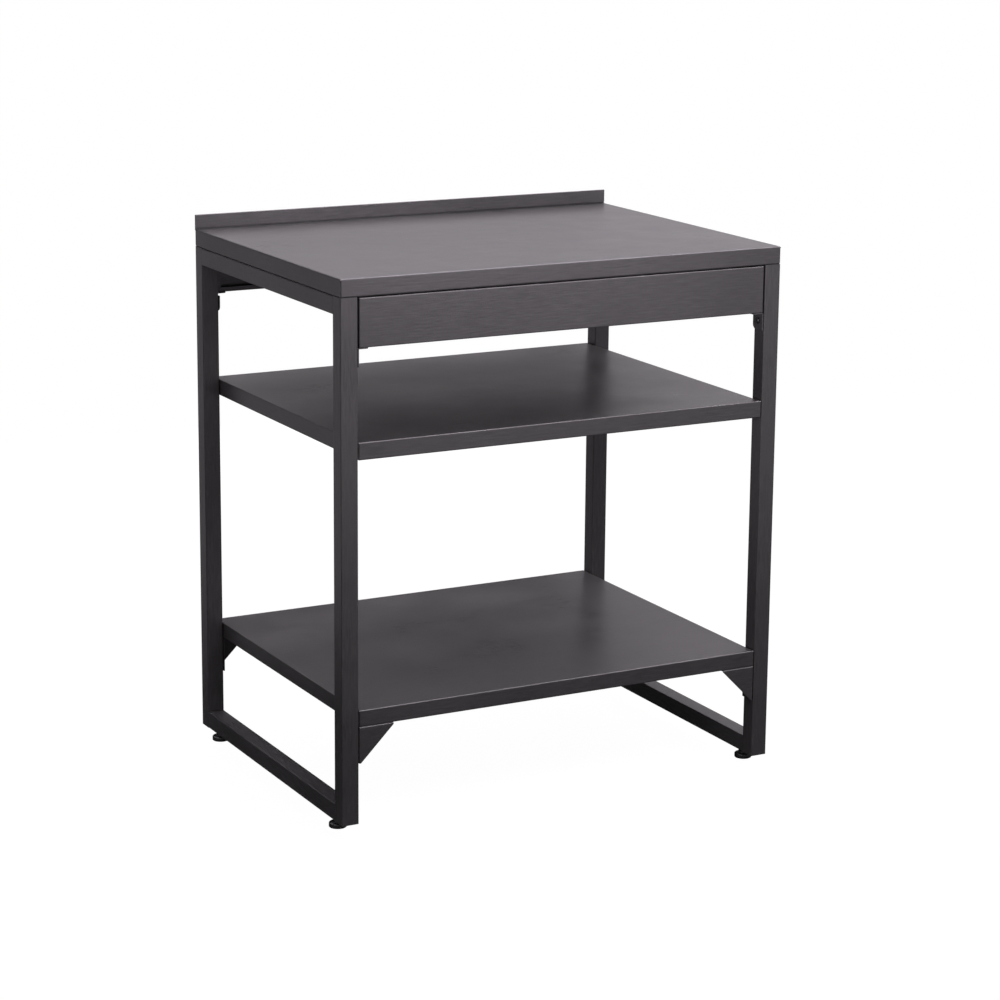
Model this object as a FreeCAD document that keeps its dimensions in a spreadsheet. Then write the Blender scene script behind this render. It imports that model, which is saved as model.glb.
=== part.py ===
import FreeCAD, Part
import os
import re

os.makedirs("parts", exist_ok=True)
doc = FreeCAD.newDocument("outdoor_kitchen_table")
vec = FreeCAD.Vector

# Sizes in millimetres.
sizes = {
    "unit_width": 820,            # outside of the side frames, left to right
    "unit_depth": 600,            # outside of the legs, front to rear
    "foot_height": 18,            # floor to the underside of the side frames
    "leg_length": 871,
    "tube_size": 30,              # square tube of legs and rails
    "tube_wall": 1.5,
    "tube_corner": 2,             # outside corner radius of the tube
    "cope_reach": 1,              # rail ends reach this far round the leg corners
    "top_height": 30,             # worktop skirt
    "top_sheet": 1.5,
    "top_bend": 2.5,              # outside bend radius of the worktop
    "top_lip": 25,                # inward return under the worktop skirt
    "upstand_height": 25,
    "upstand_round": 1.4,
    "hem_root": 0.4,              # worktop to the gap under the hem
    "hem_gap": 1.6,               # open seam under the free edge of the hem
    "shelf_sheet": 1.2,
    "shelf_bend": 2,
    "shelf_lip": 20,              # inward return under the shelf skirts
    "corner_gap": 0.4,            # open seam where two skirts or two lips meet
    "corner_tab": 8,              # tab welded behind a corner seam
    "corner_bite": 0.3,           # weld depth of the tab
    "middle_rise": 637,           # frame underside to the top of the middle shelf
    "middle_height": 29,
    "lower_rise": 193,            # frame underside to the top of the lower shelf
    "lower_height": 28,
    "hat_width": 40,              # stiffening channel under each panel
    "hat_height": 20,
    "hat_flange": 15,
    "hat_sheet": 1.2,
    "hat_end_gap": 2,
    "apron_height": 80,
    "apron_sheet": 1.2,
    "apron_bend": 2,
    "apron_return": 15,           # depth of the apron
    "apron_lip": 8,               # inward return behind the apron
    "apron_top_gap": 1.8,         # worktop to apron
    "apron_side_gap": 2.7,        # leg to apron
    "bracket_plate": 2,
    "bracket_drop": 31,           # leg leaf below the apron
    "bracket_tab": 20,            # reach of the tab under the apron
    "bracket_tab_round": 6,
    "bracket_bend": 3,            # outside bend radius between leaf and tab
    "bracket_relief": 4,          # notch in the leaf beside the bend
    "bracket_setback": 1.5,       # leg front to bracket
    "bracket_round": 9,
    "bracket_bolt_low": 15,       # apron underside to the bolt
    "gusset_size": 62,
    "gusset_plate": 2,
    "gusset_bend": 2.5,
    "gusset_tip": 3,              # blunt ends of the triangle
    "gusset_leaf": 30,            # depth of the folded leaves
    "gusset_bolt_drop": 40,       # shelf underside to the leg bolt
    "gusset_bolt_reach": 36,      # leg face to the shelf bolt
    "gusset_bolt_inset": 11,      # shelf front to the shelf bolt
    "insert_flange": 0.8,
    "insert_flange_radius": 6.5,
    "insert_radius": 4.4,
    "insert_length": 14,
    "insert_clearance": 0.05,
    "bolt_radius": 3,
    "bolt_length": 14,
    "bolt_head_radius": 5.25,
    "bolt_head_height": 3.3,
    "bolt_head_round": 1.6,
    "bolt_socket": 2.3,           # corner radius of the hexagon socket
    "bolt_socket_depth": 2,
    "thread_clearance": 0.05,
    "bolt_clearance": 0.3,        # radial room in a drilled hole
    "nut_radius": 5.77,           # corner radius of the hexagon nuts
    "nut_height": 5,
    "top_bolt_inset": 70,         # leg to worktop bolt
    "bolt_spare": 1.5,            # thread showing past a nut
    "plug_height": 14,
    "plug_wall": 2,
    "foot_setback": 50,           # outside of the leg to the foot axis
    "foot_pad_radius": 15,
    "foot_pad_height": 8.4,
    "foot_pad_round": 1.6,
    "foot_hub_radius": 8,
    "foot_stud_radius": 4,
    "foot_stud_top": 44,          # floor to the top of the stud
    "foot_stud_chamfer": 0.8,
    "foot_socket_floor": 3,       # floor to the bottom end of the stud
    "foot_clearance": 0.05,
    "foot_insert_flange": 1,
    "foot_insert_flange_radius": 8,
    "foot_insert_radius": 5.5,
    "foot_insert_length": 16,
}

sheet = doc.addObject("Spreadsheet::Sheet", "Sizes")
for row, (alias, amount) in enumerate(sizes.items(), start=1):
    sheet.set("A%d" % row, str(amount))
    sheet.setAlias("A%d" % row, alias)
doc.recompute()
alias_pattern = re.compile(r"\b(" + "|".join(sizes) + r")\b")

# Levels and planes shared by the pieces.
leg_x = "(unit_width / 2 - tube_size / 2)"
leg_y = "(unit_depth / 2 - tube_size / 2)"
leg_face = "(unit_width / 2 - tube_size)"
panel_end = "(unit_width / 2 - tube_size - insert_flange)"
frame_top = "(foot_height + leg_length)"
top_level = "(foot_height + leg_length + top_height)"
middle_level = "(foot_height + middle_rise)"
lower_level = "(foot_height + lower_rise)"
lower_floor = "(foot_height + lower_rise - lower_height)"
apron_level = "(foot_height + leg_length - apron_top_gap)"
apron_floor = "(foot_height + leg_length - apron_top_gap - apron_height)"
apron_width = "(unit_width - 2 * tube_size - 2 * apron_side_gap)"
bracket_bolt_level = "(foot_height + leg_length - apron_top_gap - apron_height - bracket_bolt_low)"
gusset_bolt_level = "(foot_height + lower_rise - lower_height - gusset_bolt_drop)"
gusset_bolt_x = "(unit_width / 2 - tube_size - gusset_bolt_reach)"
gusset_bolt_y = "(unit_depth / 2 - gusset_bolt_inset)"
middle_bolt_level = "(foot_height + middle_rise - middle_height / 2)"
lower_bolt_level = "(foot_height + lower_rise - lower_height / 2)"
top_bolt_y = "(unit_depth / 2 - tube_size - top_bolt_inset)"
foot_y = "(unit_depth / 2 - foot_setback)"
hub_top = "(foot_height - foot_insert_flange)"
thread_bore = "bolt_radius + thread_clearance"
stud_bore = "foot_stud_radius + foot_clearance"

sides = {"left": "-1", "right": "1"}
ends = {"front": "-1", "rear": "1"}
turns = {
    "z": FreeCAD.Rotation(),
    "x": FreeCAD.Rotation(vec(0, 1, 0), 90),
    "y": FreeCAD.Rotation(vec(1, 0, 0), -90),
}


def drive(item, prop, text):
    item.setExpression(prop, alias_pattern.sub(r"Sizes.\1", text))


def place(item, x, y, z, turn=None):
    if turn is not None:
        item.Placement = FreeCAD.Placement(vec(0, 0, 0), turn)
    drive(item, "Placement.Base.x", x)
    drive(item, "Placement.Base.y", y)
    drive(item, "Placement.Base.z", z)
    return item


def block(name, size, centre):
    item = doc.addObject("Part::Box", name)
    for prop, text in zip(("Length", "Width", "Height"), size):
        drive(item, prop, text)
    corner = ["%s - (%s) / 2" % pair for pair in zip(centre, size)]
    return place(item, *corner)


# A bar from one level to another along Z.
def upright(name, width, depth, x, y, low, high):
    tall = "%s - (%s)" % (high, low)
    return block(name, (width, depth, tall), (x, y, "(%s + %s) / 2" % (low, high)))


def rod(name, radius, length, centre, axis):
    item = doc.addObject("Part::Cylinder", name)
    drive(item, "Radius", radius)
    drive(item, "Height", length)
    spot = list(centre)
    spot["xyz".index(axis)] += " - (%s) / 2" % length
    return place(item, *spot, turn=turns[axis])


def hexagon(name, radius, height, centre, axis):
    item = doc.addObject("Part::Prism", name)
    item.Polygon = 6
    drive(item, "Circumradius", radius)
    drive(item, "Height", height)
    spot = list(centre)
    spot["xyz".index(axis)] += " - (%s) / 2" % height
    return place(item, *spot, turn=turns[axis])


def fuse(name, items):
    item = doc.addObject("Part::MultiFuse", name)
    item.Shapes = items
    item.Refine = True
    return item


def cut(name, base, tools):
    item = doc.addObject("Part::Cut", name)
    item.Base = base
    item.Tool = tools[0] if len(tools) == 1 else fuse(name + "_tools", tools)
    return item


def group(name, items):
    item = doc.addObject("Part::Compound", name)
    item.Links = items
    return item


def lies_on(edge, face, bound):
    low = getattr(edge.BoundBox, face[0].upper() + "Min")
    high = getattr(edge.BoundBox, face[0].upper() + "Max")
    level = getattr(bound, face[0].upper() + ("Max" if face[1] == "+" else "Min"))
    return abs(low - level) < 1e-6 and abs(high - level) < 1e-6


# Round the edges that lie on the named pairs of outer faces, such as ("z+", "y-").
def rounded(name, base, radius, pairs, kind="Part::Fillet"):
    doc.recompute()
    bound = base.Shape.BoundBox
    picked = []
    for number, edge in enumerate(base.Shape.Edges, start=1):
        if any(all(lies_on(edge, face, bound) for face in pair) for pair in pairs):
            picked.append((number, radius, radius))
    item = doc.addObject(kind, name)
    item.Base = base
    item.Edges = picked
    return item


long_edges = {
    "z": [("x-", "y-"), ("x-", "y+"), ("x+", "y-"), ("x+", "y+")],
    "y": [("x-", "z-"), ("x-", "z+"), ("x+", "z-"), ("x+", "z+")],
}


# Square tube with rounded corners, open at both ends, drilled where asked.
def tube(name, length, centre, axis, holes):
    solid = ["tube_size"] * 3
    hollow = ["tube_size - 2 * tube_wall"] * 3
    solid["xyz".index(axis)] = length
    hollow["xyz".index(axis)] = length + " + 2 * tube_wall"
    outer = block(name + "_outer", solid, centre)
    skin = rounded(name + "_skin", outer, sizes["tube_corner"], long_edges[axis])
    return cut(name, skin, [block(name + "_hollow", hollow, centre)] + holes)


# Folded panel: a sheet with skirts on four sides, an inward lip under them and open corner seams.
def tray(name, width, depth, level, height, key, bends, holes, extra):
    gauge = key + "_sheet"
    lip = key + "_lip"
    outside = sizes[key + "_bend"]
    inside = outside - sizes[gauge]
    centre = ("0", "0", "%s - %s / 2" % (level, height))
    outer = block(name + "_outer", (width, depth, height), centre)
    room = tuple("%s - 2 * %s" % (span, gauge) for span in (width, depth, height))
    inner = block(name + "_room", room, centre)
    skin = rounded(name + "_skin", outer, outside, bends)
    core = rounded(name + "_core", inner, inside, bends)
    floor = "%s - %s + %s / 2" % (level, height, gauge)
    mouth_size = ("%s - 2 * %s" % (width, lip), "%s - 2 * %s" % (depth, lip), "2 * " + gauge)
    tools = [core, block(name + "_mouth", mouth_size, ("0", "0", floor))]
    tabs = []
    slit = gauge + " + corner_gap"
    slit_top = "%s - %s_bend" % (level, key)
    underside = "(%s - %s)" % (level, height)
    thick = gauge + " + corner_bite"
    tab_low = "(%s + %s - corner_bite)" % (underside, gauge)
    tab_high = slit_top + " + corner_bite"
    for side, sx in sides.items():
        for end, sy in ends.items():
            mark = "%s_%s_%s" % (name, side, end)
            x = "%s * (%s / 2 - (%s) / 2)" % (sx, width, slit)
            y = "%s * (%s / 2 - (%s) / 2)" % (sy, depth, slit)
            tools.append(upright(mark + "_slit", slit, slit, x, y, underside, slit_top))
            mitre = doc.addObject("Part::Box", mark + "_mitre")
            drive(mitre, "Length", "sqrt(2) * (%s + %s)" % (lip, gauge))
            drive(mitre, "Width", "corner_gap")
            drive(mitre, "Height", "4 * " + gauge)
            bearing = FreeCAD.Rotation(vec(1, 0, 0), vec(-int(sx), -int(sy), 0))
            x = "%s * %s / 2 - %s * corner_gap / sqrt(8)" % (sx, width, sy)
            y = "%s * %s / 2 + %s * corner_gap / sqrt(8)" % (sy, depth, sx)
            tools.append(place(mitre, x, y, "%s - %s" % (underside, gauge), bearing))
            x = "%s * (%s / 2 - %s + corner_bite - (%s) / 2)" % (sx, width, gauge, thick)
            y = "%s * (%s / 2 - %s + corner_bite - corner_tab / 2)" % (sy, depth, gauge)
            tabs.append(upright(mark + "_tab", thick, "corner_tab", x, y, tab_low, tab_high))
    folded = fuse(name + "_folded", [skin] + extra) if extra else skin
    return fuse(name, [cut(name + "_open", folded, tools + holes)] + tabs)


# Top-hat channel welded under a panel, flanges up.
def hat(name, length, level):
    web_y = "(hat_width / 2 - hat_sheet / 2)"
    foot = "%s - hat_height + hat_sheet / 2" % level
    pieces = [block(name + "_base", (length, "hat_width", "hat_sheet"), ("0", "0", foot))]
    for end, sy in ends.items():
        web = (length, "hat_sheet", "hat_height")
        web_spot = ("0", "%s * %s" % (sy, web_y), level + " - hat_height / 2")
        pieces.append(block(name + "_web_" + end, web, web_spot))
        wing_y = "%s * (hat_width / 2 + hat_flange / 2 - hat_sheet)" % sy
        wing = (length, "hat_flange", "hat_sheet")
        pieces.append(block(name + "_wing_" + end, wing, ("0", wing_y, level + " - hat_sheet / 2")))
    return fuse(name, pieces)


# Threaded insert riveted into a tube wall: flange outside, barrel inside.
def insert(name, face, away, spot, axis, key, bore):
    length = key + "_length"
    flange = key + "_flange"
    lane = "xyz".index(axis)
    barrel_spot = list(spot)
    flange_spot = list(spot)
    bore_spot = list(spot)
    barrel_spot[lane] = "%s - %s * %s / 2" % (face, away, length)
    flange_spot[lane] = "%s + %s * %s / 2" % (face, away, flange)
    bore_spot[lane] = "%s + %s * (%s - %s) / 2" % (face, away, flange, length)
    barrel = rod(name + "_barrel", key + "_radius", length, barrel_spot, axis)
    collar = rod(name + "_collar", key + "_flange_radius", flange, flange_spot, axis)
    hole = rod(name + "_bore", bore, "%s + %s" % (length, flange), bore_spot, axis)
    return cut(name, fuse(name + "_body", [barrel, collar]), [hole])


# Button-head bolt: the head rests on a face and points away from it, the shank goes the other way.
def bolt(name, face, away, spot, axis, length):
    lane = "xyz".index(axis)
    head_spot = list(spot)
    shank_spot = list(spot)
    socket_spot = list(spot)
    head_spot[lane] = "%s + %s * bolt_head_height / 2" % (face, away)
    shank_spot[lane] = "%s - %s * (%s) / 2" % (face, away, length)
    socket_spot[lane] = "%s + %s * (bolt_head_height - bolt_socket_depth / 2)" % (face, away)
    head = rod(name + "_blank", "bolt_head_radius", "bolt_head_height", head_spot, axis)
    rim = axis + ("-" if away == "-1" else "+")
    dome = rounded(name + "_dome", head, sizes["bolt_head_round"], [(rim,)])
    shank = rod(name + "_shank", "bolt_radius", length, shank_spot, axis)
    socket = hexagon(name + "_socket", "bolt_socket", "bolt_socket_depth", socket_spot, axis)
    return cut(name, fuse(name + "_solid", [dome, shank]), [socket])


def nut(name, x, y, low):
    centre = (x, y, low + " + nut_height / 2")
    body = hexagon(name + "_body", "nut_radius", "nut_height", centre, "z")
    return cut(name, body, [rod(name + "_bore", thread_bore, "nut_height", centre, "z")])


def drilled(name, x, y, z, axis, depth):
    return rod(name, "bolt_radius + bolt_clearance", depth, (x, y, z), axis)


nodes = []
leg_inserts = []
shelf_bolts = []
bracket_bolts = []
gusset_leg_bolts = []
gusset_shelf_bolts = []
gusset_shelf_nuts = []
worktop_bolts = []
worktop_nuts = []
foot_inserts = []
leg_plugs = []
insert_levels = {
    "middle": middle_bolt_level,
    "lower": lower_bolt_level,
    "bracket": bracket_bolt_level,
    "gusset": gusset_bolt_level,
}

# Legs with their riveted inserts and end plugs.
for side, sx in sides.items():
    for end, sy in ends.items():
        name = "%s_%s_leg" % (side, end)
        x = "%s * %s" % (sx, leg_x)
        y = "%s * %s" % (sy, leg_y)
        face = "%s * %s" % (sx, leg_face)
        inward = "1" if sx == "-1" else "-1"
        holes = []
        for use, level in insert_levels.items():
            wall_x = "%s + %s * tube_wall / 2" % (face, sx)
            hole_radius = "insert_radius + insert_clearance"
            hole = "%s_%s_hole" % (name, use)
            holes.append(rod(hole, hole_radius, "2 * tube_wall", (wall_x, y, level), "x"))
            fixing = "%s_%s_insert" % (name, use)
            leg_inserts.append(insert(fixing, face, inward, ("0", y, level), "x", "insert", thread_bore))
        middle = "foot_height + leg_length / 2"
        nodes.append(tube(name, "leg_length", (x, y, middle), "z", holes))
        hollow = "tube_size - 2 * tube_wall"
        plug_top = "foot_height + plug_height"
        plug = upright(name + "_plug_body", hollow, hollow, x, y, "foot_height", plug_top)
        cup_floor = "foot_height + plug_wall"
        cup = upright(name + "_plug_cup", hollow + " - 2 * plug_wall", hollow + " - 2 * plug_wall", x, y,
                      cup_floor, plug_top + " + plug_wall")
        leg_plugs.append(cut(name + "_plug", plug, [cup]))

# Rails welded between the legs of each side frame, with the worktop bolts and the foot inserts.
rail_length = "unit_depth - 2 * tube_size + 2 * cope_reach"
for side, sx in sides.items():
    x = "%s * %s" % (sx, leg_x)
    coping = [doc.getObject("%s_%s_leg_skin" % (side, end)) for end in ends]
    top_holes = list(coping)
    low_holes = list(coping)
    top_middle = frame_top + " - tube_size / 2"
    for end, sy in ends.items():
        y = "%s * %s" % (sy, top_bolt_y)
        mark = "%s_%s" % (side, end)
        through = "tube_size + 2 * tube_wall"
        top_holes.append(drilled(mark + "_top_rail_hole", x, y, top_middle, "z", through))
        under = frame_top + " - tube_size"
        reach = "tube_size + top_sheet + nut_height + bolt_spare"
        worktop_bolts.append(bolt(mark + "_worktop_bolt", under, "-1", (x, y, "0"), "z", reach))
        worktop_nuts.append(nut(mark + "_worktop_nut", x, y, frame_top + " + top_sheet"))
        stand = "%s * %s" % (sy, foot_y)
        wall_z = "foot_height + tube_wall / 2"
        seat = "foot_insert_radius + insert_clearance"
        low_holes.append(rod(mark + "_foot_hole", seat, "2 * tube_wall", (x, stand, wall_z), "z"))
        fixing = mark + "_foot_insert"
        axle = (x, stand, "0")
        foot_inserts.append(insert(fixing, "foot_height", "-1", axle, "z", "foot_insert", stud_bore))
    nodes.append(tube(side + "_top_rail", rail_length, (x, "0", top_middle), "y", top_holes))
    low_middle = "foot_height + tube_size / 2"
    nodes.append(tube(side + "_bottom_rail", rail_length, (x, "0", low_middle), "y", low_holes))

# Worktop: skirts on four sides and a hemmed upstand along the rear edge.
upstand_depth = "2 * top_sheet"
upstand_y = "unit_depth / 2 - top_sheet"
upstand_top = top_level + " + upstand_height"
upstand = upright("upstand_blank", "unit_width", upstand_depth, "0", upstand_y,
                  top_level + " - top_bend", upstand_top)
upstand_edges = [("z+", "y-"), ("z+", "y+")]
hem = rounded("upstand_hem", upstand, sizes["upstand_round"], upstand_edges)
hem_y = "unit_depth / 2 - 3 * top_sheet / 2"
hem_low = "(" + top_level + " + hem_root)"
hem_high = "(" + top_level + " + hem_root + hem_gap)"
top_cuts = [upright("hem_seam", "unit_width", "top_sheet", "0", hem_y, hem_low, hem_high)]
for side, sx in sides.items():
    for end, sy in ends.items():
        x = "%s * %s" % (sx, leg_x)
        y = "%s * %s" % (sy, top_bolt_y)
        flange_z = frame_top + " + top_sheet / 2"
        hole = "worktop_hole_%s_%s" % (side, end)
        top_cuts.append(drilled(hole, x, y, flange_z, "z", "2 * top_sheet"))
low_bends = [("z-", "y-"), ("z-", "y+"), ("z-", "x-"), ("z-", "x+")]
top_bends = low_bends + [("z+", "y-"), ("z+", "x-"), ("z+", "x+")]
nodes.append(tray("worktop_panel", "unit_width", "unit_depth", top_level, "top_height", "top", top_bends,
                  top_cuts, [hem]))
span = "unit_width - 2 * top_sheet - 2 * hat_end_gap"
nodes.append(hat("worktop_stiffener", span, top_level + " - top_sheet"))

# Shelves bolted through their end skirts into the leg inserts.
all_bends = top_bends + [("z+", "y+")]
shelf_width = "(unit_width - 2 * tube_size - 2 * insert_flange)"
shelf_levels = {
    "middle_shelf": (middle_level, "middle_height", middle_bolt_level),
    "lower_shelf": (lower_level, "lower_height", lower_bolt_level),
}
for name, (level, height, bolt_level) in shelf_levels.items():
    holes = []
    for side, sx in sides.items():
        inward = "1" if sx == "-1" else "-1"
        for end, sy in ends.items():
            mark = "%s_%s_%s" % (name, side, end)
            y = "%s * %s" % (sy, leg_y)
            skirt_x = "%s * (%s - shelf_sheet / 2)" % (sx, panel_end)
            holes.append(drilled(mark + "_hole", skirt_x, y, bolt_level, "x", "2 * shelf_sheet"))
            seat = "%s * (%s - shelf_sheet)" % (sx, panel_end)
            shelf_bolts.append(bolt(mark + "_bolt", seat, inward, ("0", y, bolt_level), "x", "bolt_length"))
            if name == "lower_shelf":
                bolt_x = "%s * %s" % (sx, gusset_bolt_x)
                bolt_y = "%s * %s" % (sy, gusset_bolt_y)
                lip_z = lower_floor + " + shelf_sheet / 2"
                holes.append(drilled(mark + "_lip_hole", bolt_x, bolt_y, lip_z, "z", "2 * shelf_sheet"))
    nodes.append(tray(name, shelf_width, "unit_depth", level, height, "shelf", all_bends, holes, []))
    span = shelf_width + " - 2 * shelf_sheet - 2 * hat_end_gap"
    nodes.append(hat(name + "_stiffener", span, level + " - shelf_sheet"))

# Aprons: shallow folded pans that stand on edge between the legs, face outward.
for end, sy in ends.items():
    pan = tray(end + "_apron", apron_width, "apron_height", "unit_depth / 2", "apron_return", "apron",
               all_bends, [], [])
    upward = FreeCAD.Rotation(vec(1, 0, 0), -90 * int(sy))
    nodes.append(place(pan, "0", "0", apron_level + " - apron_height / 2", upward))

# Angle brackets: a leaf on the leg with a tab folded over at its top and welded under the apron.
for side, sx in sides.items():
    inward = "1" if sx == "-1" else "-1"
    outer_face = "x" + ("-" if sx == "-1" else "+")
    inner_face = "x" + ("+" if sx == "-1" else "-")
    for end, sy in ends.items():
        name = "%s_%s_bracket" % (side, end)
        free_face = "y" + ("+" if sy == "-1" else "-")
        deep = "(tube_size - bracket_setback)"
        y = "%s * (unit_depth / 2 - bracket_setback - %s / 2)" % (sy, deep)
        leaf_x = "%s * (%s - bracket_plate / 2)" % (sx, panel_end)
        foot = apron_floor + " - bracket_drop"
        leaf = upright(name + "_leaf", "bracket_plate", deep, leaf_x, y,
                       foot, apron_floor + " - bracket_relief")
        near = "%s * (unit_depth / 2 - bracket_setback - apron_return / 2)" % sy
        neck = upright(name + "_neck", "bracket_plate", "apron_return", leaf_x, near, foot, apron_floor)
        tab_x = "%s * (%s - bracket_tab / 2)" % (sx, panel_end)
        tab = upright(name + "_tab", "bracket_tab", "apron_return", tab_x, near,
                      apron_floor + " - bracket_plate", apron_floor)
        tab_corners = [(inner_face, "y-"), (inner_face, "y+")]
        ear = rounded(name + "_ear", tab, sizes["bracket_tab_round"], tab_corners)
        angle = fuse(name + "_angle", [leaf, neck, ear])
        bent = rounded(name + "_bent", angle, sizes["bracket_bend"], [(outer_face, "z+")])
        shaped = rounded(name + "_shaped", bent, sizes["bracket_round"], [("z-", free_face)])
        bolt_y = "%s * %s" % (sy, leg_y)
        hole = drilled(name + "_hole", leaf_x, bolt_y, bracket_bolt_level, "x", "2 * bracket_plate")
        nodes.append(cut(name, shaped, [hole]))
        seat = "%s * (%s - bracket_plate)" % (sx, panel_end)
        spot = ("0", bolt_y, bracket_bolt_level)
        bracket_bolts.append(bolt(name + "_bolt", seat, inward, spot, "x", "bolt_length"))

# Gussets: a triangle in line with the shelf front, leaves folded back under the shelf and along the leg.
for side, sx in sides.items():
    inward = "1" if sx == "-1" else "-1"
    for end, sy in ends.items():
        name = "%s_%s_gusset" % (side, end)
        plate = doc.addObject("Part::Wedge", name + "_plate")
        drive(plate, "Xmin", "0" if sx == "-1" else "-gusset_size")
        drive(plate, "Xmax", "gusset_size" if sx == "-1" else "0")
        drive(plate, "X2min", "0" if sx == "-1" else "-gusset_tip")
        drive(plate, "X2max", "gusset_tip" if sx == "-1" else "0")
        drive(plate, "Ymin", "0")
        drive(plate, "Ymax", "gusset_size - gusset_tip")
        for prop in ("Zmin", "Z2min"):
            drive(plate, prop, "0")
        for prop in ("Zmax", "Z2max"):
            drive(plate, prop, "gusset_plate")
        plate_x = "%s * %s" % (sx, panel_end)
        near = "-unit_depth / 2" if sy == "-1" else "unit_depth / 2 - gusset_plate"
        place(plate, plate_x, near, lower_floor + " - gusset_tip", turns["y"])
        strip = upright(name + "_strip", "gusset_size", "gusset_plate",
                        "%s * (%s - gusset_size / 2)" % (sx, panel_end),
                        "%s * (unit_depth / 2 - gusset_plate / 2)" % sy,
                        lower_floor + " - gusset_tip", lower_floor)
        leaf_y = "%s * (unit_depth / 2 - gusset_leaf / 2)" % sy
        leg_leaf = upright(name + "_leg_leaf", "gusset_plate", "gusset_leaf",
                           "%s * (%s - gusset_plate / 2)" % (sx, panel_end), leaf_y,
                           lower_floor + " - gusset_size", lower_floor)
        top_leaf = upright(name + "_top_leaf", "gusset_size", "gusset_leaf",
                           "%s * (%s - gusset_size / 2)" % (sx, panel_end), leaf_y,
                           lower_floor + " - gusset_plate", lower_floor)
        folded = fuse(name + "_folded", [plate, strip, leg_leaf, top_leaf])
        y = "%s * %s" % (sy, leg_y)
        leaf_x = "%s * (%s - gusset_plate / 2)" % (sx, panel_end)
        bolt_x = "%s * %s" % (sx, gusset_bolt_x)
        bolt_y = "%s * %s" % (sy, gusset_bolt_y)
        leaf_z = lower_floor + " - gusset_plate / 2"
        holes = [
            drilled(name + "_leg_hole", leaf_x, y, gusset_bolt_level, "x", "2 * gusset_plate"),
            drilled(name + "_shelf_hole", bolt_x, bolt_y, leaf_z, "z", "2 * gusset_plate"),
        ]
        front = "y" + ("-" if sy == "-1" else "+")
        edge = "x" + ("-" if sx == "-1" else "+")
        bent = rounded(name + "_bent", folded, sizes["gusset_bend"], [(front, edge), (front, "z+")])
        nodes.append(cut(name, bent, holes))
        seat = "%s * (%s - gusset_plate)" % (sx, panel_end)
        leg_spot = ("0", y, gusset_bolt_level)
        gusset_leg_bolts.append(bolt(name + "_leg_bolt", seat, inward, leg_spot, "x", "bolt_length"))
        reach = "gusset_plate + shelf_sheet + nut_height + bolt_spare"
        under = lower_floor + " - gusset_plate"
        shelf_spot = (bolt_x, bolt_y, "0")
        gusset_shelf_bolts.append(bolt(name + "_shelf_bolt", under, "-1", shelf_spot, "z", reach))
        gusset_shelf_nuts.append(nut(name + "_shelf_nut", bolt_x, bolt_y, lower_floor + " + shelf_sheet"))

# Levelling feet: a stud screwed into the rail, a round pad with a hub on its lower end.
for side, sx in sides.items():
    for end, sy in ends.items():
        name = "%s_%s_foot" % (side, end)
        x = "%s * %s" % (sx, leg_x)
        y = "%s * %s" % (sy, foot_y)
        stud_middle = "(foot_socket_floor + foot_stud_top) / 2"
        stud_length = "foot_stud_top - foot_socket_floor"
        blank = rod(name + "_stud_blank", "foot_stud_radius", stud_length, (x, y, stud_middle), "z")
        nodes.append(rounded(name + "_stud", blank, sizes["foot_stud_chamfer"], [("z+",)], "Part::Chamfer"))
        disc = rod(name + "_disc", "foot_pad_radius", "foot_pad_height", (x, y, "foot_pad_height / 2"), "z")
        soft = rounded(name + "_soft_disc", disc, sizes["foot_pad_round"], [("z+",), ("z-",)])
        hub_height = hub_top + " - foot_pad_height / 2"
        hub_middle = "(%s + foot_pad_height / 2) / 2" % hub_top
        hub = rod(name + "_hub", "foot_hub_radius", hub_height, (x, y, hub_middle), "z")
        socket_depth = hub_top + " - foot_socket_floor"
        socket_middle = "(%s + foot_socket_floor) / 2" % hub_top
        socket = rod(name + "_socket", stud_bore, socket_depth, (x, y, socket_middle), "z")
        nodes.append(cut(name + "_pad", fuse(name + "_moulding", [soft, hub]), [socket]))

nodes.append(group("leg_inserts", leg_inserts))
nodes.append(group("leg_end_plugs", leg_plugs))
nodes.append(group("shelf_bolts", shelf_bolts))
nodes.append(group("bracket_bolts", bracket_bolts))
nodes.append(group("gusset_leg_bolts", gusset_leg_bolts))
nodes.append(group("gusset_shelf_bolts", gusset_shelf_bolts))
nodes.append(group("gusset_shelf_nuts", gusset_shelf_nuts))
nodes.append(group("worktop_bolts", worktop_bolts))
nodes.append(group("worktop_nuts", worktop_nuts))
nodes.append(group("foot_inserts", foot_inserts))
doc.recompute()

for item in doc.Objects:
    if "Invalid" in item.State or "Error" in item.State:
        raise RuntimeError("%s did not build" % item.Label)
for node in nodes:
    if node.Shape.isNull() or not node.Shape.isValid() or not node.Shape.Solids:
        raise RuntimeError("%s has no valid solid" % node.Label)
for node in nodes:
    node.Shape.exportStep("parts/%s.step" % node.Label)
print("%d pieces written" % len(nodes))
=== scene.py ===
import math

import bpy
from mathutils import Matrix, Vector


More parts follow.
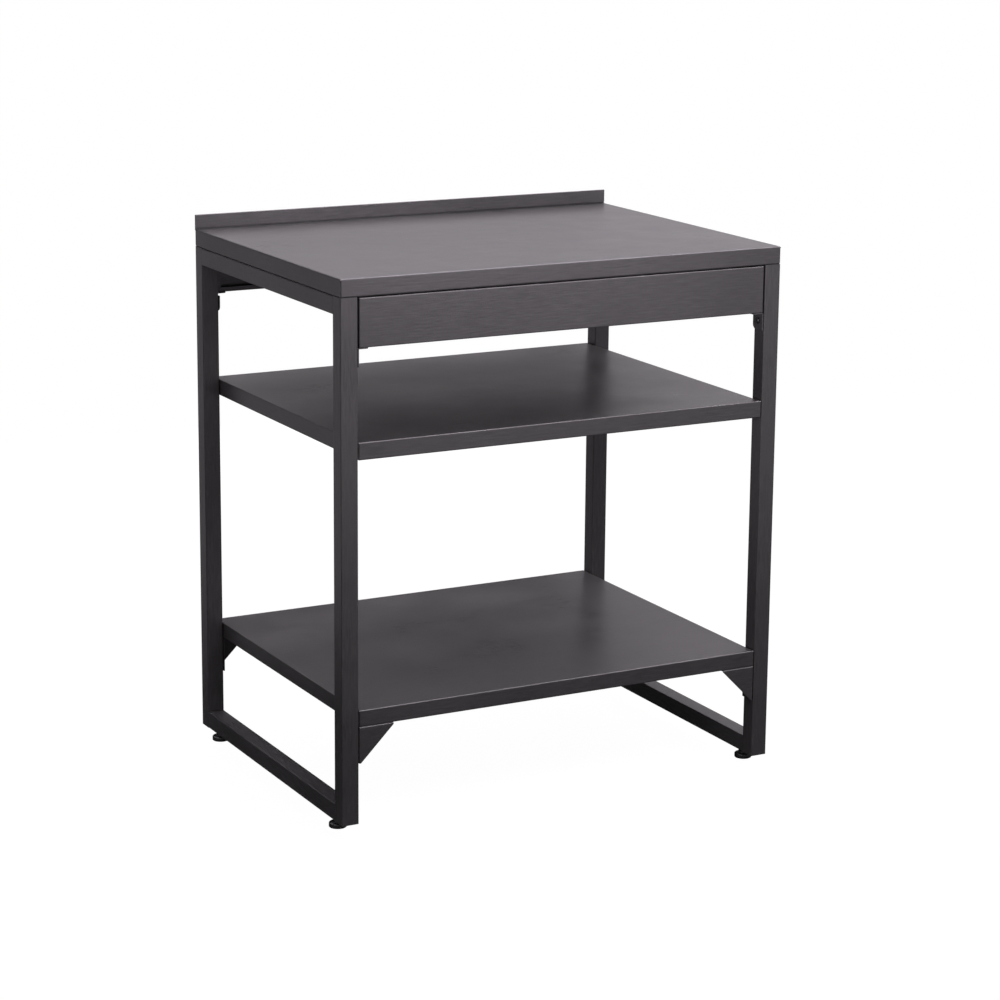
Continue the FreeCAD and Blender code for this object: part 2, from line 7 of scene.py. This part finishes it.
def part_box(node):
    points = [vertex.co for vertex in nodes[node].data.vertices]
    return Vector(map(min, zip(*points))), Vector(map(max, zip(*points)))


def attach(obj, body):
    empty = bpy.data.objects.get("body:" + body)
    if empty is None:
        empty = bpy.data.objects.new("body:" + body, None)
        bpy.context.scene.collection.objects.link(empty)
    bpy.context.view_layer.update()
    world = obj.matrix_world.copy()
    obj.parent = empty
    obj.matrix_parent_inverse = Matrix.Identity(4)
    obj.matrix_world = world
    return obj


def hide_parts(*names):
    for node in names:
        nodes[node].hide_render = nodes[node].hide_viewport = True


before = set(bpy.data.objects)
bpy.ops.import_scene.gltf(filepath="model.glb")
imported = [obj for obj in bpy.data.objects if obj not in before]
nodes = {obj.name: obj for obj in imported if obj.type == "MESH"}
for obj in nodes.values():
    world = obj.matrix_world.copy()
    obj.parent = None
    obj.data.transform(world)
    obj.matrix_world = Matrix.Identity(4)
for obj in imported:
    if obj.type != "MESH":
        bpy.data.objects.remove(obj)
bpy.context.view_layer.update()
print("frame loaded:", len(nodes), "nodes")


class Wire:                                   # one socket of a node tree, used in plain sums
    def __init__(self, board, socket):
        self.board = board
        self.socket = socket

    def sum(self, operation, first, second=0.0):
        return self.board.node("Math", {"operation": operation}, {0: first, 1: second})

    def __add__(self, other):
        return self.sum("ADD", self, other)

    def __radd__(self, other):
        return self.sum("ADD", other, self)

    def __sub__(self, other):
        return self.sum("SUBTRACT", self, other)

    def __rsub__(self, other):
        return self.sum("SUBTRACT", other, self)

    def __mul__(self, other):
        return self.sum("MULTIPLY", self, other)

    def __rmul__(self, other):
        return self.sum("MULTIPLY", other, self)

    def __gt__(self, other):
        return self.sum("GREATER_THAN", self, other)

    def __abs__(self):
        return self.sum("ABSOLUTE", self)

    def most(self, other):
        return self.sum("MAXIMUM", self, other)

    def ramp(self, low, high, first=0.0, last=1.0):
        ends = {"Value": self, "From Min": low, "From Max": high, "To Min": first, "To Max": last}
        return self.board.node("MapRange", {"interpolation_type": "SMOOTHSTEP"}, ends)


class Board:                                  # a node tree and the one way to add nodes to it
    def __init__(self, tree):
        self.tree = tree
        tree.nodes.clear()

    def node(self, kind, settings=None, sockets=None, out=0):
        made = self.tree.nodes.new("ShaderNode" + kind)
        for key, value in (settings or {}).items():
            setattr(made, key, value)
        for key, value in (sockets or {}).items():
            if isinstance(value, Wire):
                self.tree.links.new(value.socket, made.inputs[key])
            else:
                made.inputs[key].default_value = value
        return Wire(self, made.outputs[out]) if made.outputs else made


def newFinish(name):
    material = bpy.data.materials.new(name)
    material.use_nodes = True
    board = Board(material.node_tree)
    return material, board, board.node("TexCoord", out=3)


def noise(board, spot, scale, detail):
    return board.node("TexNoise", None, {"Vector": spot, "Scale": scale, "Detail": detail})


def scaled(board, colour, level):             # a fixed colour made lighter or darker over the surface
    return board.node("VectorMath", {"operation": "SCALE"}, {0: colour, "Scale": level})


def parts(board, vector):                     # x, y and z of a vector
    return [board.node("SeparateXYZ", None, {"Vector": vector}, out=axis) for axis in range(3)]


def closeFinish(board, sockets):
    shader = board.node("BsdfPrincipled", None, sockets)
    board.node("OutputMaterial", None, {"Surface": shader})


# Charcoal powder coat: fine sandy skin, faint streaks along the member, slow cloudiness.
coat = {
    "tone": (0.0705, 0.0685, 0.0705),
    "streakAlong": 30.0,                      # per metre
    "streakAcross": 340.0,
    "streakDepth": 0.74,
    "streakDetail": 3.0,
    "streakFineness": 0.6,
    "streakBump": 0.6,
    "streakHeight": 0.0004,
    "endFacing": 0.7,                         # how squarely a skirt faces the ends
    "patchScale": 16.0,                       # streaks come and go in patches
    "patchSwing": 2.6,
    "sandScale": 1500.0,
    "sandDepth": 0.22,
    "cloudScale": 6.0,
    "cloudDepth": 0.32,
    "cloudGloss": 0.26,                       # the sheen is uneven in the same clouds
    "roughness": 0.34,
    "roughSwing": 0.12,
    "shadeReach": 0.005,                     # painted shade: seams and inner corners are darkened by ambient occlusion
    "shadeSpan": (0.25, 0.9),
    "paintedShadeTone": 0.25,
    "shadeRays": 8,
    "paintedHighlightTone": 3.0,                           # painted highlight: upper bends of panels are painted lighter, and made smoother
    "highlightSmoothing": 0.12,
    "highlightBend": (0.02, 0.2),
    "highlightUpward": (0.2, 0.5),
    "peelScale": 900.0,
    "peelStrength": 0.25,
    "peelDistance": 0.00012,
    "specular": 0.36,
    "glint": (1.0, 0.95, 1.0),                # tint of the reflections
}


def coatFinish(name, along, across=None, highlightShare=0.0):
    material, board, spot = newFinish(name)

    def streaks(axis):
        scale = [coat["streakAcross"]] * 3
        scale["xyz".index(axis)] = coat["streakAlong"]
        stretched = board.node("Mapping", {"vector_type": "POINT"}, {"Vector": spot, "Scale": scale})
        return board.node("TexNoise", None, {
            "Vector": stretched,
            "Scale": 1.0,
            "Detail": coat["streakDetail"],
            "Roughness": coat["streakFineness"],
        })

    grain = streaks(along)
    facing = parts(board, board.node("TexCoord", out=1))
    if across:                                # skirts on the two ends have their grain along the other axis
        onEnds = abs(facing[0]) > coat["endFacing"]
        grain = grain + (streaks(across) - grain) * onEnds
    sand = noise(board, spot, coat["sandScale"], 2.0)
    cloud = noise(board, spot, coat["cloudScale"], 3.0)
    patch = noise(board, spot, coat["patchScale"], 1.0)
    peel = noise(board, spot, coat["peelScale"], 1.0)

    depth = coat["streakDepth"] * (1.0 + (patch - 0.5) * coat["patchSwing"])
    swing = 1.0 + (grain - 0.5) * depth + (sand - 0.5) * coat["sandDepth"]
    swing = swing + (cloud - 0.5) * coat["cloudDepth"]
    flatness = abs(facing[0]).most(abs(facing[1])).most(abs(facing[2]))
    # painted highlight on upward-facing bends lightens the base colour; the same mask lowers roughness there
    paintedHighlightBends = (1.0 - flatness).ramp(*coat["highlightBend"]) * facing[2].ramp(*coat["highlightUpward"])
    paintedHighlightBends = paintedHighlightBends * (0.5 + patch) * highlightShare
    # painted shade: ambient occlusion darkens the base colour in seams and inner corners
    openness = board.node("AmbientOcclusion", {"samples": coat["shadeRays"]},
                          {"Distance": coat["shadeReach"]}, out=1)
    paintedCreaseShade = openness.ramp(*coat["shadeSpan"], coat["paintedShadeTone"], 1.0)
    # the painted highlight on upper bends and the painted shade in seams both go into the base colour here
    swing = swing * (1.0 + paintedHighlightBends * coat["paintedHighlightTone"]) * paintedCreaseShade
    rough = coat["roughness"] + (grain - 0.5) * coat["roughSwing"] + (sand - 0.5) * coat["roughSwing"]
    rough = rough + (cloud - 0.5) * coat["cloudGloss"] - paintedHighlightBends * coat["highlightSmoothing"]
    brushed = board.node("Bump", None, {
        "Strength": coat["streakBump"],
        "Distance": coat["streakHeight"],
        "Height": grain,
    })
    skin = board.node("Bump", None, {
        "Strength": coat["peelStrength"],
        "Distance": coat["peelDistance"],
        "Height": peel,
        "Normal": brushed,
    })
    closeFinish(board, {
        "Base Color": scaled(board, coat["tone"], swing),
        "Roughness": rough,
        "Specular IOR Level": coat["specular"],
        "Specular Tint": (*coat["glint"], 1.0),
        "Normal": skin,
    })
    return material


# Zinc plating on the studs, inserts and nuts.
zinc = {
    "tone": (0.55, 0.56, 0.57),
    "blotchScale": 160.0,
    "blotchDepth": 0.25,
    "blotchRough": 0.3,
    "roughness": 0.34,
}


def zincFinish():
    material, board, spot = newFinish("zincPlate")
    blotch = noise(board, spot, zinc["blotchScale"], 4.0)
    closeFinish(board, {
        "Base Color": scaled(board, zinc["tone"], 1.0 + (blotch - 0.5) * zinc["blotchDepth"]),
        "Metallic": 1.0,
        "Roughness": zinc["roughness"] + (blotch - 0.5) * zinc["blotchRough"],
    })
    return material


# Black coated bolts and moulded black plastic.
dark = {
    "blackBolt": {"tone": (0.022, 0.022, 0.023), "roughness": 0.38, "bumpStrength": 0.15},
    "mouldedBlack": {"tone": (0.012, 0.012, 0.0125), "roughness": 0.5, "bumpStrength": 0.3},
    "grainScale": 2200.0,
    "grainDepth": 0.3,
    "grainHeight": 0.0001,
    "washScale": 90.0,
    "washDepth": 0.3,
    "washRough": 0.2,
}


def darkFinish(name):
    kind = dark[name]
    material, board, spot = newFinish(name)
    grain = noise(board, spot, dark["grainScale"], 2.0)
    wash = noise(board, spot, dark["washScale"], 3.0)
    swing = 1.0 + (grain - 0.5) * dark["grainDepth"] + (wash - 0.5) * dark["washDepth"]
    skin = board.node("Bump", None, {
        "Strength": kind["bumpStrength"],
        "Distance": dark["grainHeight"],
        "Height": grain,
    })
    closeFinish(board, {
        "Base Color": scaled(board, kind["tone"], swing),
        "Roughness": kind["roughness"] + (wash - 0.5) * dark["washRough"],
        "Normal": skin,
    })
    return material


coatAlongX = coatFinish("charcoalCoatLengthways", "x", "y", 1.0)
coatAlongY = coatFinish("charcoalCoatRails", "y")
coatAlongZ = coatFinish("charcoalCoatUprights", "z")
zincPlate = zincFinish()
boltBlack = darkFinish("blackBolt")
padBlack = darkFinish("mouldedBlack")

finishOf = {                                  # by the last word of a node's name; panels and aprons run along X
    "leg": coatAlongZ,
    "bracket": coatAlongZ,
    "rail": coatAlongY,
    "gusset": coatAlongX,
    "inserts": zincPlate,
    "nuts": zincPlate,
    "stud": zincPlate,
    "bolts": boltBlack,
    "pad": padBlack,
    "plugs": padBlack,
}
for name, item in nodes.items():
    finish = finishOf.get(name.split("_")[-1], coatAlongX)
    item.data.materials.clear()
    item.data.materials.append(finish)
print("finishes set on", len(nodes), "nodes")


# Levelling feet: a threaded stud and a moulded pad, modelled once on the Z axis and copied to the four feet.
mergeReach = 0.000005


def stroke(name, points):                     # a line of edges drawn point by point
    bpy.ops.object.select_all(action="DESELECT")
    bpy.ops.mesh.primitive_plane_add(size=0.01, location=(0.0, 0.0, 0.0))
    item = bpy.context.object
    item.name = name
    bpy.ops.object.mode_set(mode="EDIT")
    bpy.ops.mesh.select_all(action="SELECT")
    bpy.ops.mesh.merge(type="CENTER")
    corners = [Vector((radius, 0.0, height)) for radius, height in points]
    bpy.ops.transform.translate(value=corners[0])
    for before, after in zip(corners, corners[1:]):
        bpy.ops.mesh.extrude_vertices_move(TRANSFORM_OT_translate={"value": after - before})
    bpy.ops.object.mode_set(mode="OBJECT")
    return item


def arc(radius, height, bend, first, last, count=6):
    angles = [math.radians(first + (last - first) * step / count) for step in range(count + 1)]
    return [(radius + bend * math.cos(angle), height + bend * math.sin(angle)) for angle in angles]


thread = {
    "pitch": 0.00125,
    "crestRadius": 0.004,
    "rootRadius": 0.00332,
    "crestFlat": 0.16,                        # shares of the pitch
    "rootFlat": 0.25,
    "steps": 32,
    "low": 0.003,
    "high": 0.044,
    "chamfer": 0.0008,
    "endScale": 0.82,
    "sharpAngle": 25.0,
}


def threadedStud():
    pitch, crest, root = thread["pitch"], thread["crestRadius"], thread["rootRadius"]
    slope = (1.0 - thread["crestFlat"] - thread["rootFlat"]) / 2.0
    rises = [0.0, thread["rootFlat"], thread["rootFlat"] + slope, 1.0 - slope, 1.0]
    radii = [root, root, crest, crest, root]
    item = stroke("footStud", [(radius, rise * pitch) for radius, rise in zip(radii, rises)])
    screw = item.modifiers.new("thread", "SCREW")
    screw.axis = "Z"
    screw.angle = 2.0 * math.pi
    screw.screw_offset = pitch
    screw.iterations = math.ceil(thread["high"] / pitch) + 1
    screw.steps = screw.render_steps = thread["steps"]
    bpy.ops.object.modifier_apply(modifier="thread")
    bpy.ops.object.mode_set(mode="EDIT")
    bpy.ops.mesh.select_all(action="SELECT")
    bpy.ops.mesh.remove_doubles(threshold=mergeReach)
    cuts = [                                  # level, clear below, clear above, close
        (thread["low"], True, False, True),
        (thread["high"] - thread["chamfer"], False, False, False),
        (thread["high"], False, True, True),
    ]
    for level, below, above, fill in cuts:
        bpy.ops.mesh.select_all(action="SELECT")
        bpy.ops.mesh.bisect(plane_co=(0.0, 0.0, level), plane_no=(0.0, 0.0, 1.0), clear_inner=below,
                            clear_outer=above, use_fill=fill)
    scale = thread["endScale"]                # the last cut is still selected
    bpy.ops.transform.resize(value=(scale, scale, 1.0), center_override=(0.0, 0.0, thread["high"]))
    bpy.ops.mesh.select_all(action="SELECT")
    bpy.ops.mesh.normals_make_consistent(inside=False)
    bpy.ops.object.mode_set(mode="OBJECT")
    bpy.ops.object.shade_smooth_by_angle(angle=math.radians(thread["sharpAngle"]))
    return item


pad = {
    "steps": 72,
    "socketRadius": 0.00405,
    "socketFloor": 0.003,
    "discRadius": 0.015,
    "discTop": 0.0084,
    "lowRound": 0.0016,
    "topRound": 0.0022,
    "hubRadius": 0.008,
    "hubTop": 0.017,
    "hubRound": 0.0008,
    "rootRound": 0.0018,
    "treads": (0.0055, 0.0085, 0.0115),       # ring grooves in the sole
    "treadWidth": 0.0011,
    "treadFloor": 0.6,                        # share of that width at the bottom of a groove
    "treadDepth": 0.0006,
    "sharpAngle": 35.0,
}


def mouldedPad():
    outline = [(0.0, 0.0)]
    half, deep = pad["treadWidth"] / 2.0, pad["treadDepth"]
    inner = half * pad["treadFloor"]
    for groove in pad["treads"]:
        outline += [(groove - half, 0.0), (groove - inner, deep), (groove + inner, deep), (groove + half, 0.0)]
    edge, low, top = pad["discRadius"], pad["lowRound"], pad["topRound"]
    outline += arc(edge - low, low, low, -90.0, 0.0)
    outline += arc(edge - top, pad["discTop"] - top, top, 0.0, 90.0)
    hub, root, cap = pad["hubRadius"], pad["rootRound"], pad["hubRound"]
    outline += arc(hub + root, pad["discTop"] + root, root, 270.0, 180.0)
    outline += arc(hub - cap, pad["hubTop"] - cap, cap, 0.0, 90.0)
    outline += [(pad["socketRadius"], pad["hubTop"]), (pad["socketRadius"], pad["socketFloor"])]
    outline += [(0.0, pad["socketFloor"])]
    item = stroke("footPad", outline)
    bpy.ops.object.mode_set(mode="EDIT")
    bpy.ops.mesh.select_all(action="SELECT")
    bpy.ops.mesh.spin(steps=pad["steps"], angle=2.0 * math.pi, center=(0.0, 0.0, 0.0), axis=(0.0, 0.0, 1.0))
    bpy.ops.mesh.select_all(action="SELECT")
    bpy.ops.mesh.remove_doubles(threshold=mergeReach)
    bpy.ops.mesh.normals_make_consistent(inside=False)
    bpy.ops.object.mode_set(mode="OBJECT")
    bpy.ops.object.shade_smooth_by_angle(angle=math.radians(pad["sharpAngle"]))
    return item


def copyTo(model, name, spot):
    bpy.ops.object.select_all(action="DESELECT")
    model.select_set(True)
    bpy.context.view_layer.objects.active = model
    bpy.ops.object.duplicate(linked=False)
    item = bpy.context.object
    item.name = name
    item.location = spot
    bpy.ops.object.transform_apply(location=True, rotation=True, scale=True)
    return item


footParts = {
    "stud": {"model": threadedStud(), "body": "screw", "slot": "zinc_plated_steel", "finish": zincPlate},
    "pad": {"model": mouldedPad(), "body": "glide", "slot": "black_plastic", "finish": padBlack},
}
for corner in ("left_front", "left_rear", "right_front", "right_rear"):
    for kind, part in footParts.items():
        node = corner + "_foot_" + kind
        low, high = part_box(node)
        middle = ((low[0] + high[0]) / 2, (low[1] + high[1]) / 2, 0.0)
        piece = copyTo(part["model"], corner + "_" + part["model"].name, middle)
        piece.data.materials.append(part["finish"])
        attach(piece, corner + "_foot_" + part["body"])
        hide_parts(node)
for part in footParts.values():
    bpy.data.objects.remove(part["model"])
print("feet modelled and copied")


# Floor, light and camera. The glows are what gloss sees: the floor, the sweep behind, the walls and the room.
stage = {
    "floorSize": 80.0,
    "floorLevel": -0.0155,                    # clear of the feet when they are screwed right out
    "floorTone": 0.9,                         # as the camera sees the matte share
    "bounceTone": 0.25,                       # as the light that bounces off it sees it
    "floorSeen": 0.9,                         # share of plain white that the camera sees in the floor
    "floorWhite": 1.086,                      # brings the open floor up to the white of the backdrop
    "frontGlow": 0.87,                        # floor in front of the unit
    "paintedShadowGlow": 0.03,                         # painted shadow of the unit on the floor round it, as gloss sees it
    "frontSpan": (-3.1, -0.9),
    "leftGlow": 0.45,                         # lit sweep behind the unit
    "rightGlow": 0.2,
    "leftSpan": (-1.15, -0.7),
    "sweepSpan": (0.35, 1.25),
    "leftWall": 0.05,
    "rightWall": 0.1,
    "wallSpan": (-0.5, -0.3),                 # spans in the room are directions
    "roomGlow": 1.0,
    "roomSpan": (-0.2, 0.3),
    "ceilingGlow": 6.0,                       # overhead softbox, seen by the upper bends
    "ceilingSpan": (0.6, 0.85),
    "skyLight": 0.25,
    "white": (1.0, 1.0, 1.0),
    "cast": (1.0, 0.95, 1.0),                 # faint colour cast of the studio
}


def rayKinds(board):
    toCamera = board.node("LightPath", out=0)
    mirrored = board.node("LightPath", out=3) + board.node("LightPath", out=6)
    return toCamera, mirrored


def seenGlow(board, plain, tinted):           # white for the camera, with the studio's cast elsewhere
    white = scaled(board, stage["white"], plain)
    cast = scaled(board, stage["cast"], tinted)
    return board.node("VectorMath", {"operation": "ADD"}, {0: white, 1: cast})


bpy.ops.object.select_all(action="DESELECT")
bpy.ops.mesh.primitive_plane_add(size=stage["floorSize"], location=(0.0, 0.0, stage["floorLevel"]))
floor = bpy.context.object
floor.name = "studioFloor"
floorMaterial, board, spot = newFinish("studioFloor")
toCamera, mirrored = rayKinds(board)
across, inward = parts(board, spot)[:2]
lit = across.ramp(*stage["leftSpan"], stage["leftGlow"], stage["rightGlow"])
# the floor glow in front fades to a painted shadow round the unit, seen only in reflections
floorGlowAndShadow = inward.ramp(*stage["frontSpan"], stage["frontGlow"], stage["paintedShadowGlow"])
sweep = inward.ramp(*stage["sweepSpan"], floorGlowAndShadow, lit)
tone = stage["bounceTone"] + toCamera * (stage["floorTone"] - stage["bounceTone"])
matte = board.node("BsdfDiffuse", None, {"Color": scaled(board, stage["white"], tone)})
seen = seenGlow(board, toCamera * stage["floorWhite"], mirrored * sweep)
glow = board.node("Emission", None, {"Color": seen, "Strength": 1.0})
mixed = board.node("MixShader", None, {0: toCamera * stage["floorSeen"] + mirrored, 1: matte, 2: glow})
board.node("OutputMaterial", None, {"Surface": mixed})
floor.data.materials.append(floorMaterial)

world = bpy.data.worlds.new("studioWorld")
world.use_nodes = True
bpy.context.scene.world = world
sky = Board(world.node_tree)
toCamera, mirrored = rayKinds(sky)
across, inward, upward = parts(sky, sky.node("TexCoord", out=0))
lit = across.ramp(*stage["wallSpan"], stage["leftWall"], stage["rightWall"])
room = inward.ramp(*stage["roomSpan"], stage["roomGlow"], lit)
room = upward.ramp(*stage["ceilingSpan"], room, stage["ceilingGlow"])
level = mirrored * room + (1.0 - toCamera - mirrored) * stage["skyLight"]
ambient = sky.node("Background", None, {"Color": seenGlow(sky, toCamera, level), "Strength": 1.0})
sky.node("OutputWorld", None, {"Surface": ambient})

lamps = {                                     # watts, metres and degrees
    "keySoftbox": {
        "place": (0.02, -1.05, 1.04), "aim": (0.0, -0.3, 0.86), "size": (1.2, 0.35), "power": 6.0,
    },
    "backSoftbox": {
        "place": (0.975, 1.7, 1.85), "aim": (0.975, 0.0, 1.75), "size": (2.95, 1.3), "power": 9.9,
    },
    "sideSoftbox": {
        "place": (1.71, 1.6, 0.7), "aim": (1.71, 0.0, 0.7), "size": (1.18, 1.0), "power": 1.3,
    },
    "rightFill": {
        "place": (2.4, 0.0, 0.45), "aim": (0.0, 0.0, 0.45), "size": (1.0, 0.7), "power": 12.0,
        "inGloss": False,
    },
    "rearFill": {
        "place": (0.45, 2.8, 0.5), "aim": (0.3, 0.0, 0.5), "size": (0.8, 0.7), "power": 13.0,
        "inGloss": False,
    },
    "lipFill": {                              # narrow beam on the upstand
        "place": (0.1, -0.6, 1.02), "aim": (0.1, 0.29, 0.95), "size": (1.0, 0.06), "power": 0.25,
        "spread": 24.0, "inGloss": False,
    },
}
for name, lamp in lamps.items():
    bpy.ops.object.light_add(type="AREA", location=lamp["place"])
    light = bpy.context.object
    light.name = name
    light.data.shape = "RECTANGLE"
    light.data.size, light.data.size_y = lamp["size"]
    light.data.energy = lamp["power"]
    light.data.color = stage["cast"]
    light.data.spread = math.radians(lamp.get("spread", 180.0))
    light.visible_camera = False
    light.visible_glossy = lamp.get("inGloss", True)
    away = Vector(lamp["place"]) - Vector(lamp["aim"])
    light.rotation_euler = away.to_track_quat("Z", "Y").to_euler()

view = {
    "place": (-2.2507, -4.2782, 1.6358),
    "azimuth": 28.1141,                       # degrees, seen from the left of the front
    "elevation": 12.7082,
    "roll": 0.5026,
    "sensor": 36.0,
    "lens": 102.3103,
    "shift": (0.0, -0.05),
    "reach": 200.0,
}
bpy.ops.object.camera_add()
camera = bpy.context.object
camera.name = "photoCamera"
turn = Matrix.Rotation(math.radians(-view["azimuth"]), 4, "Z")
tilt = Matrix.Rotation(math.radians(90.0 - view["elevation"]), 4, "X")
lean = Matrix.Rotation(math.radians(view["roll"]), 4, "Z")
camera.matrix_world = Matrix.Translation(view["place"]) @ turn @ tilt @ lean
camera.data.sensor_width = view["sensor"]
camera.data.lens = view["lens"]
camera.data.shift_x, camera.data.shift_y = view["shift"]
camera.data.clip_end = view["reach"]
bpy.context.scene.camera = camera
bpy.context.scene.view_settings.view_transform = "Standard"
print("stage, lamps and camera placed")
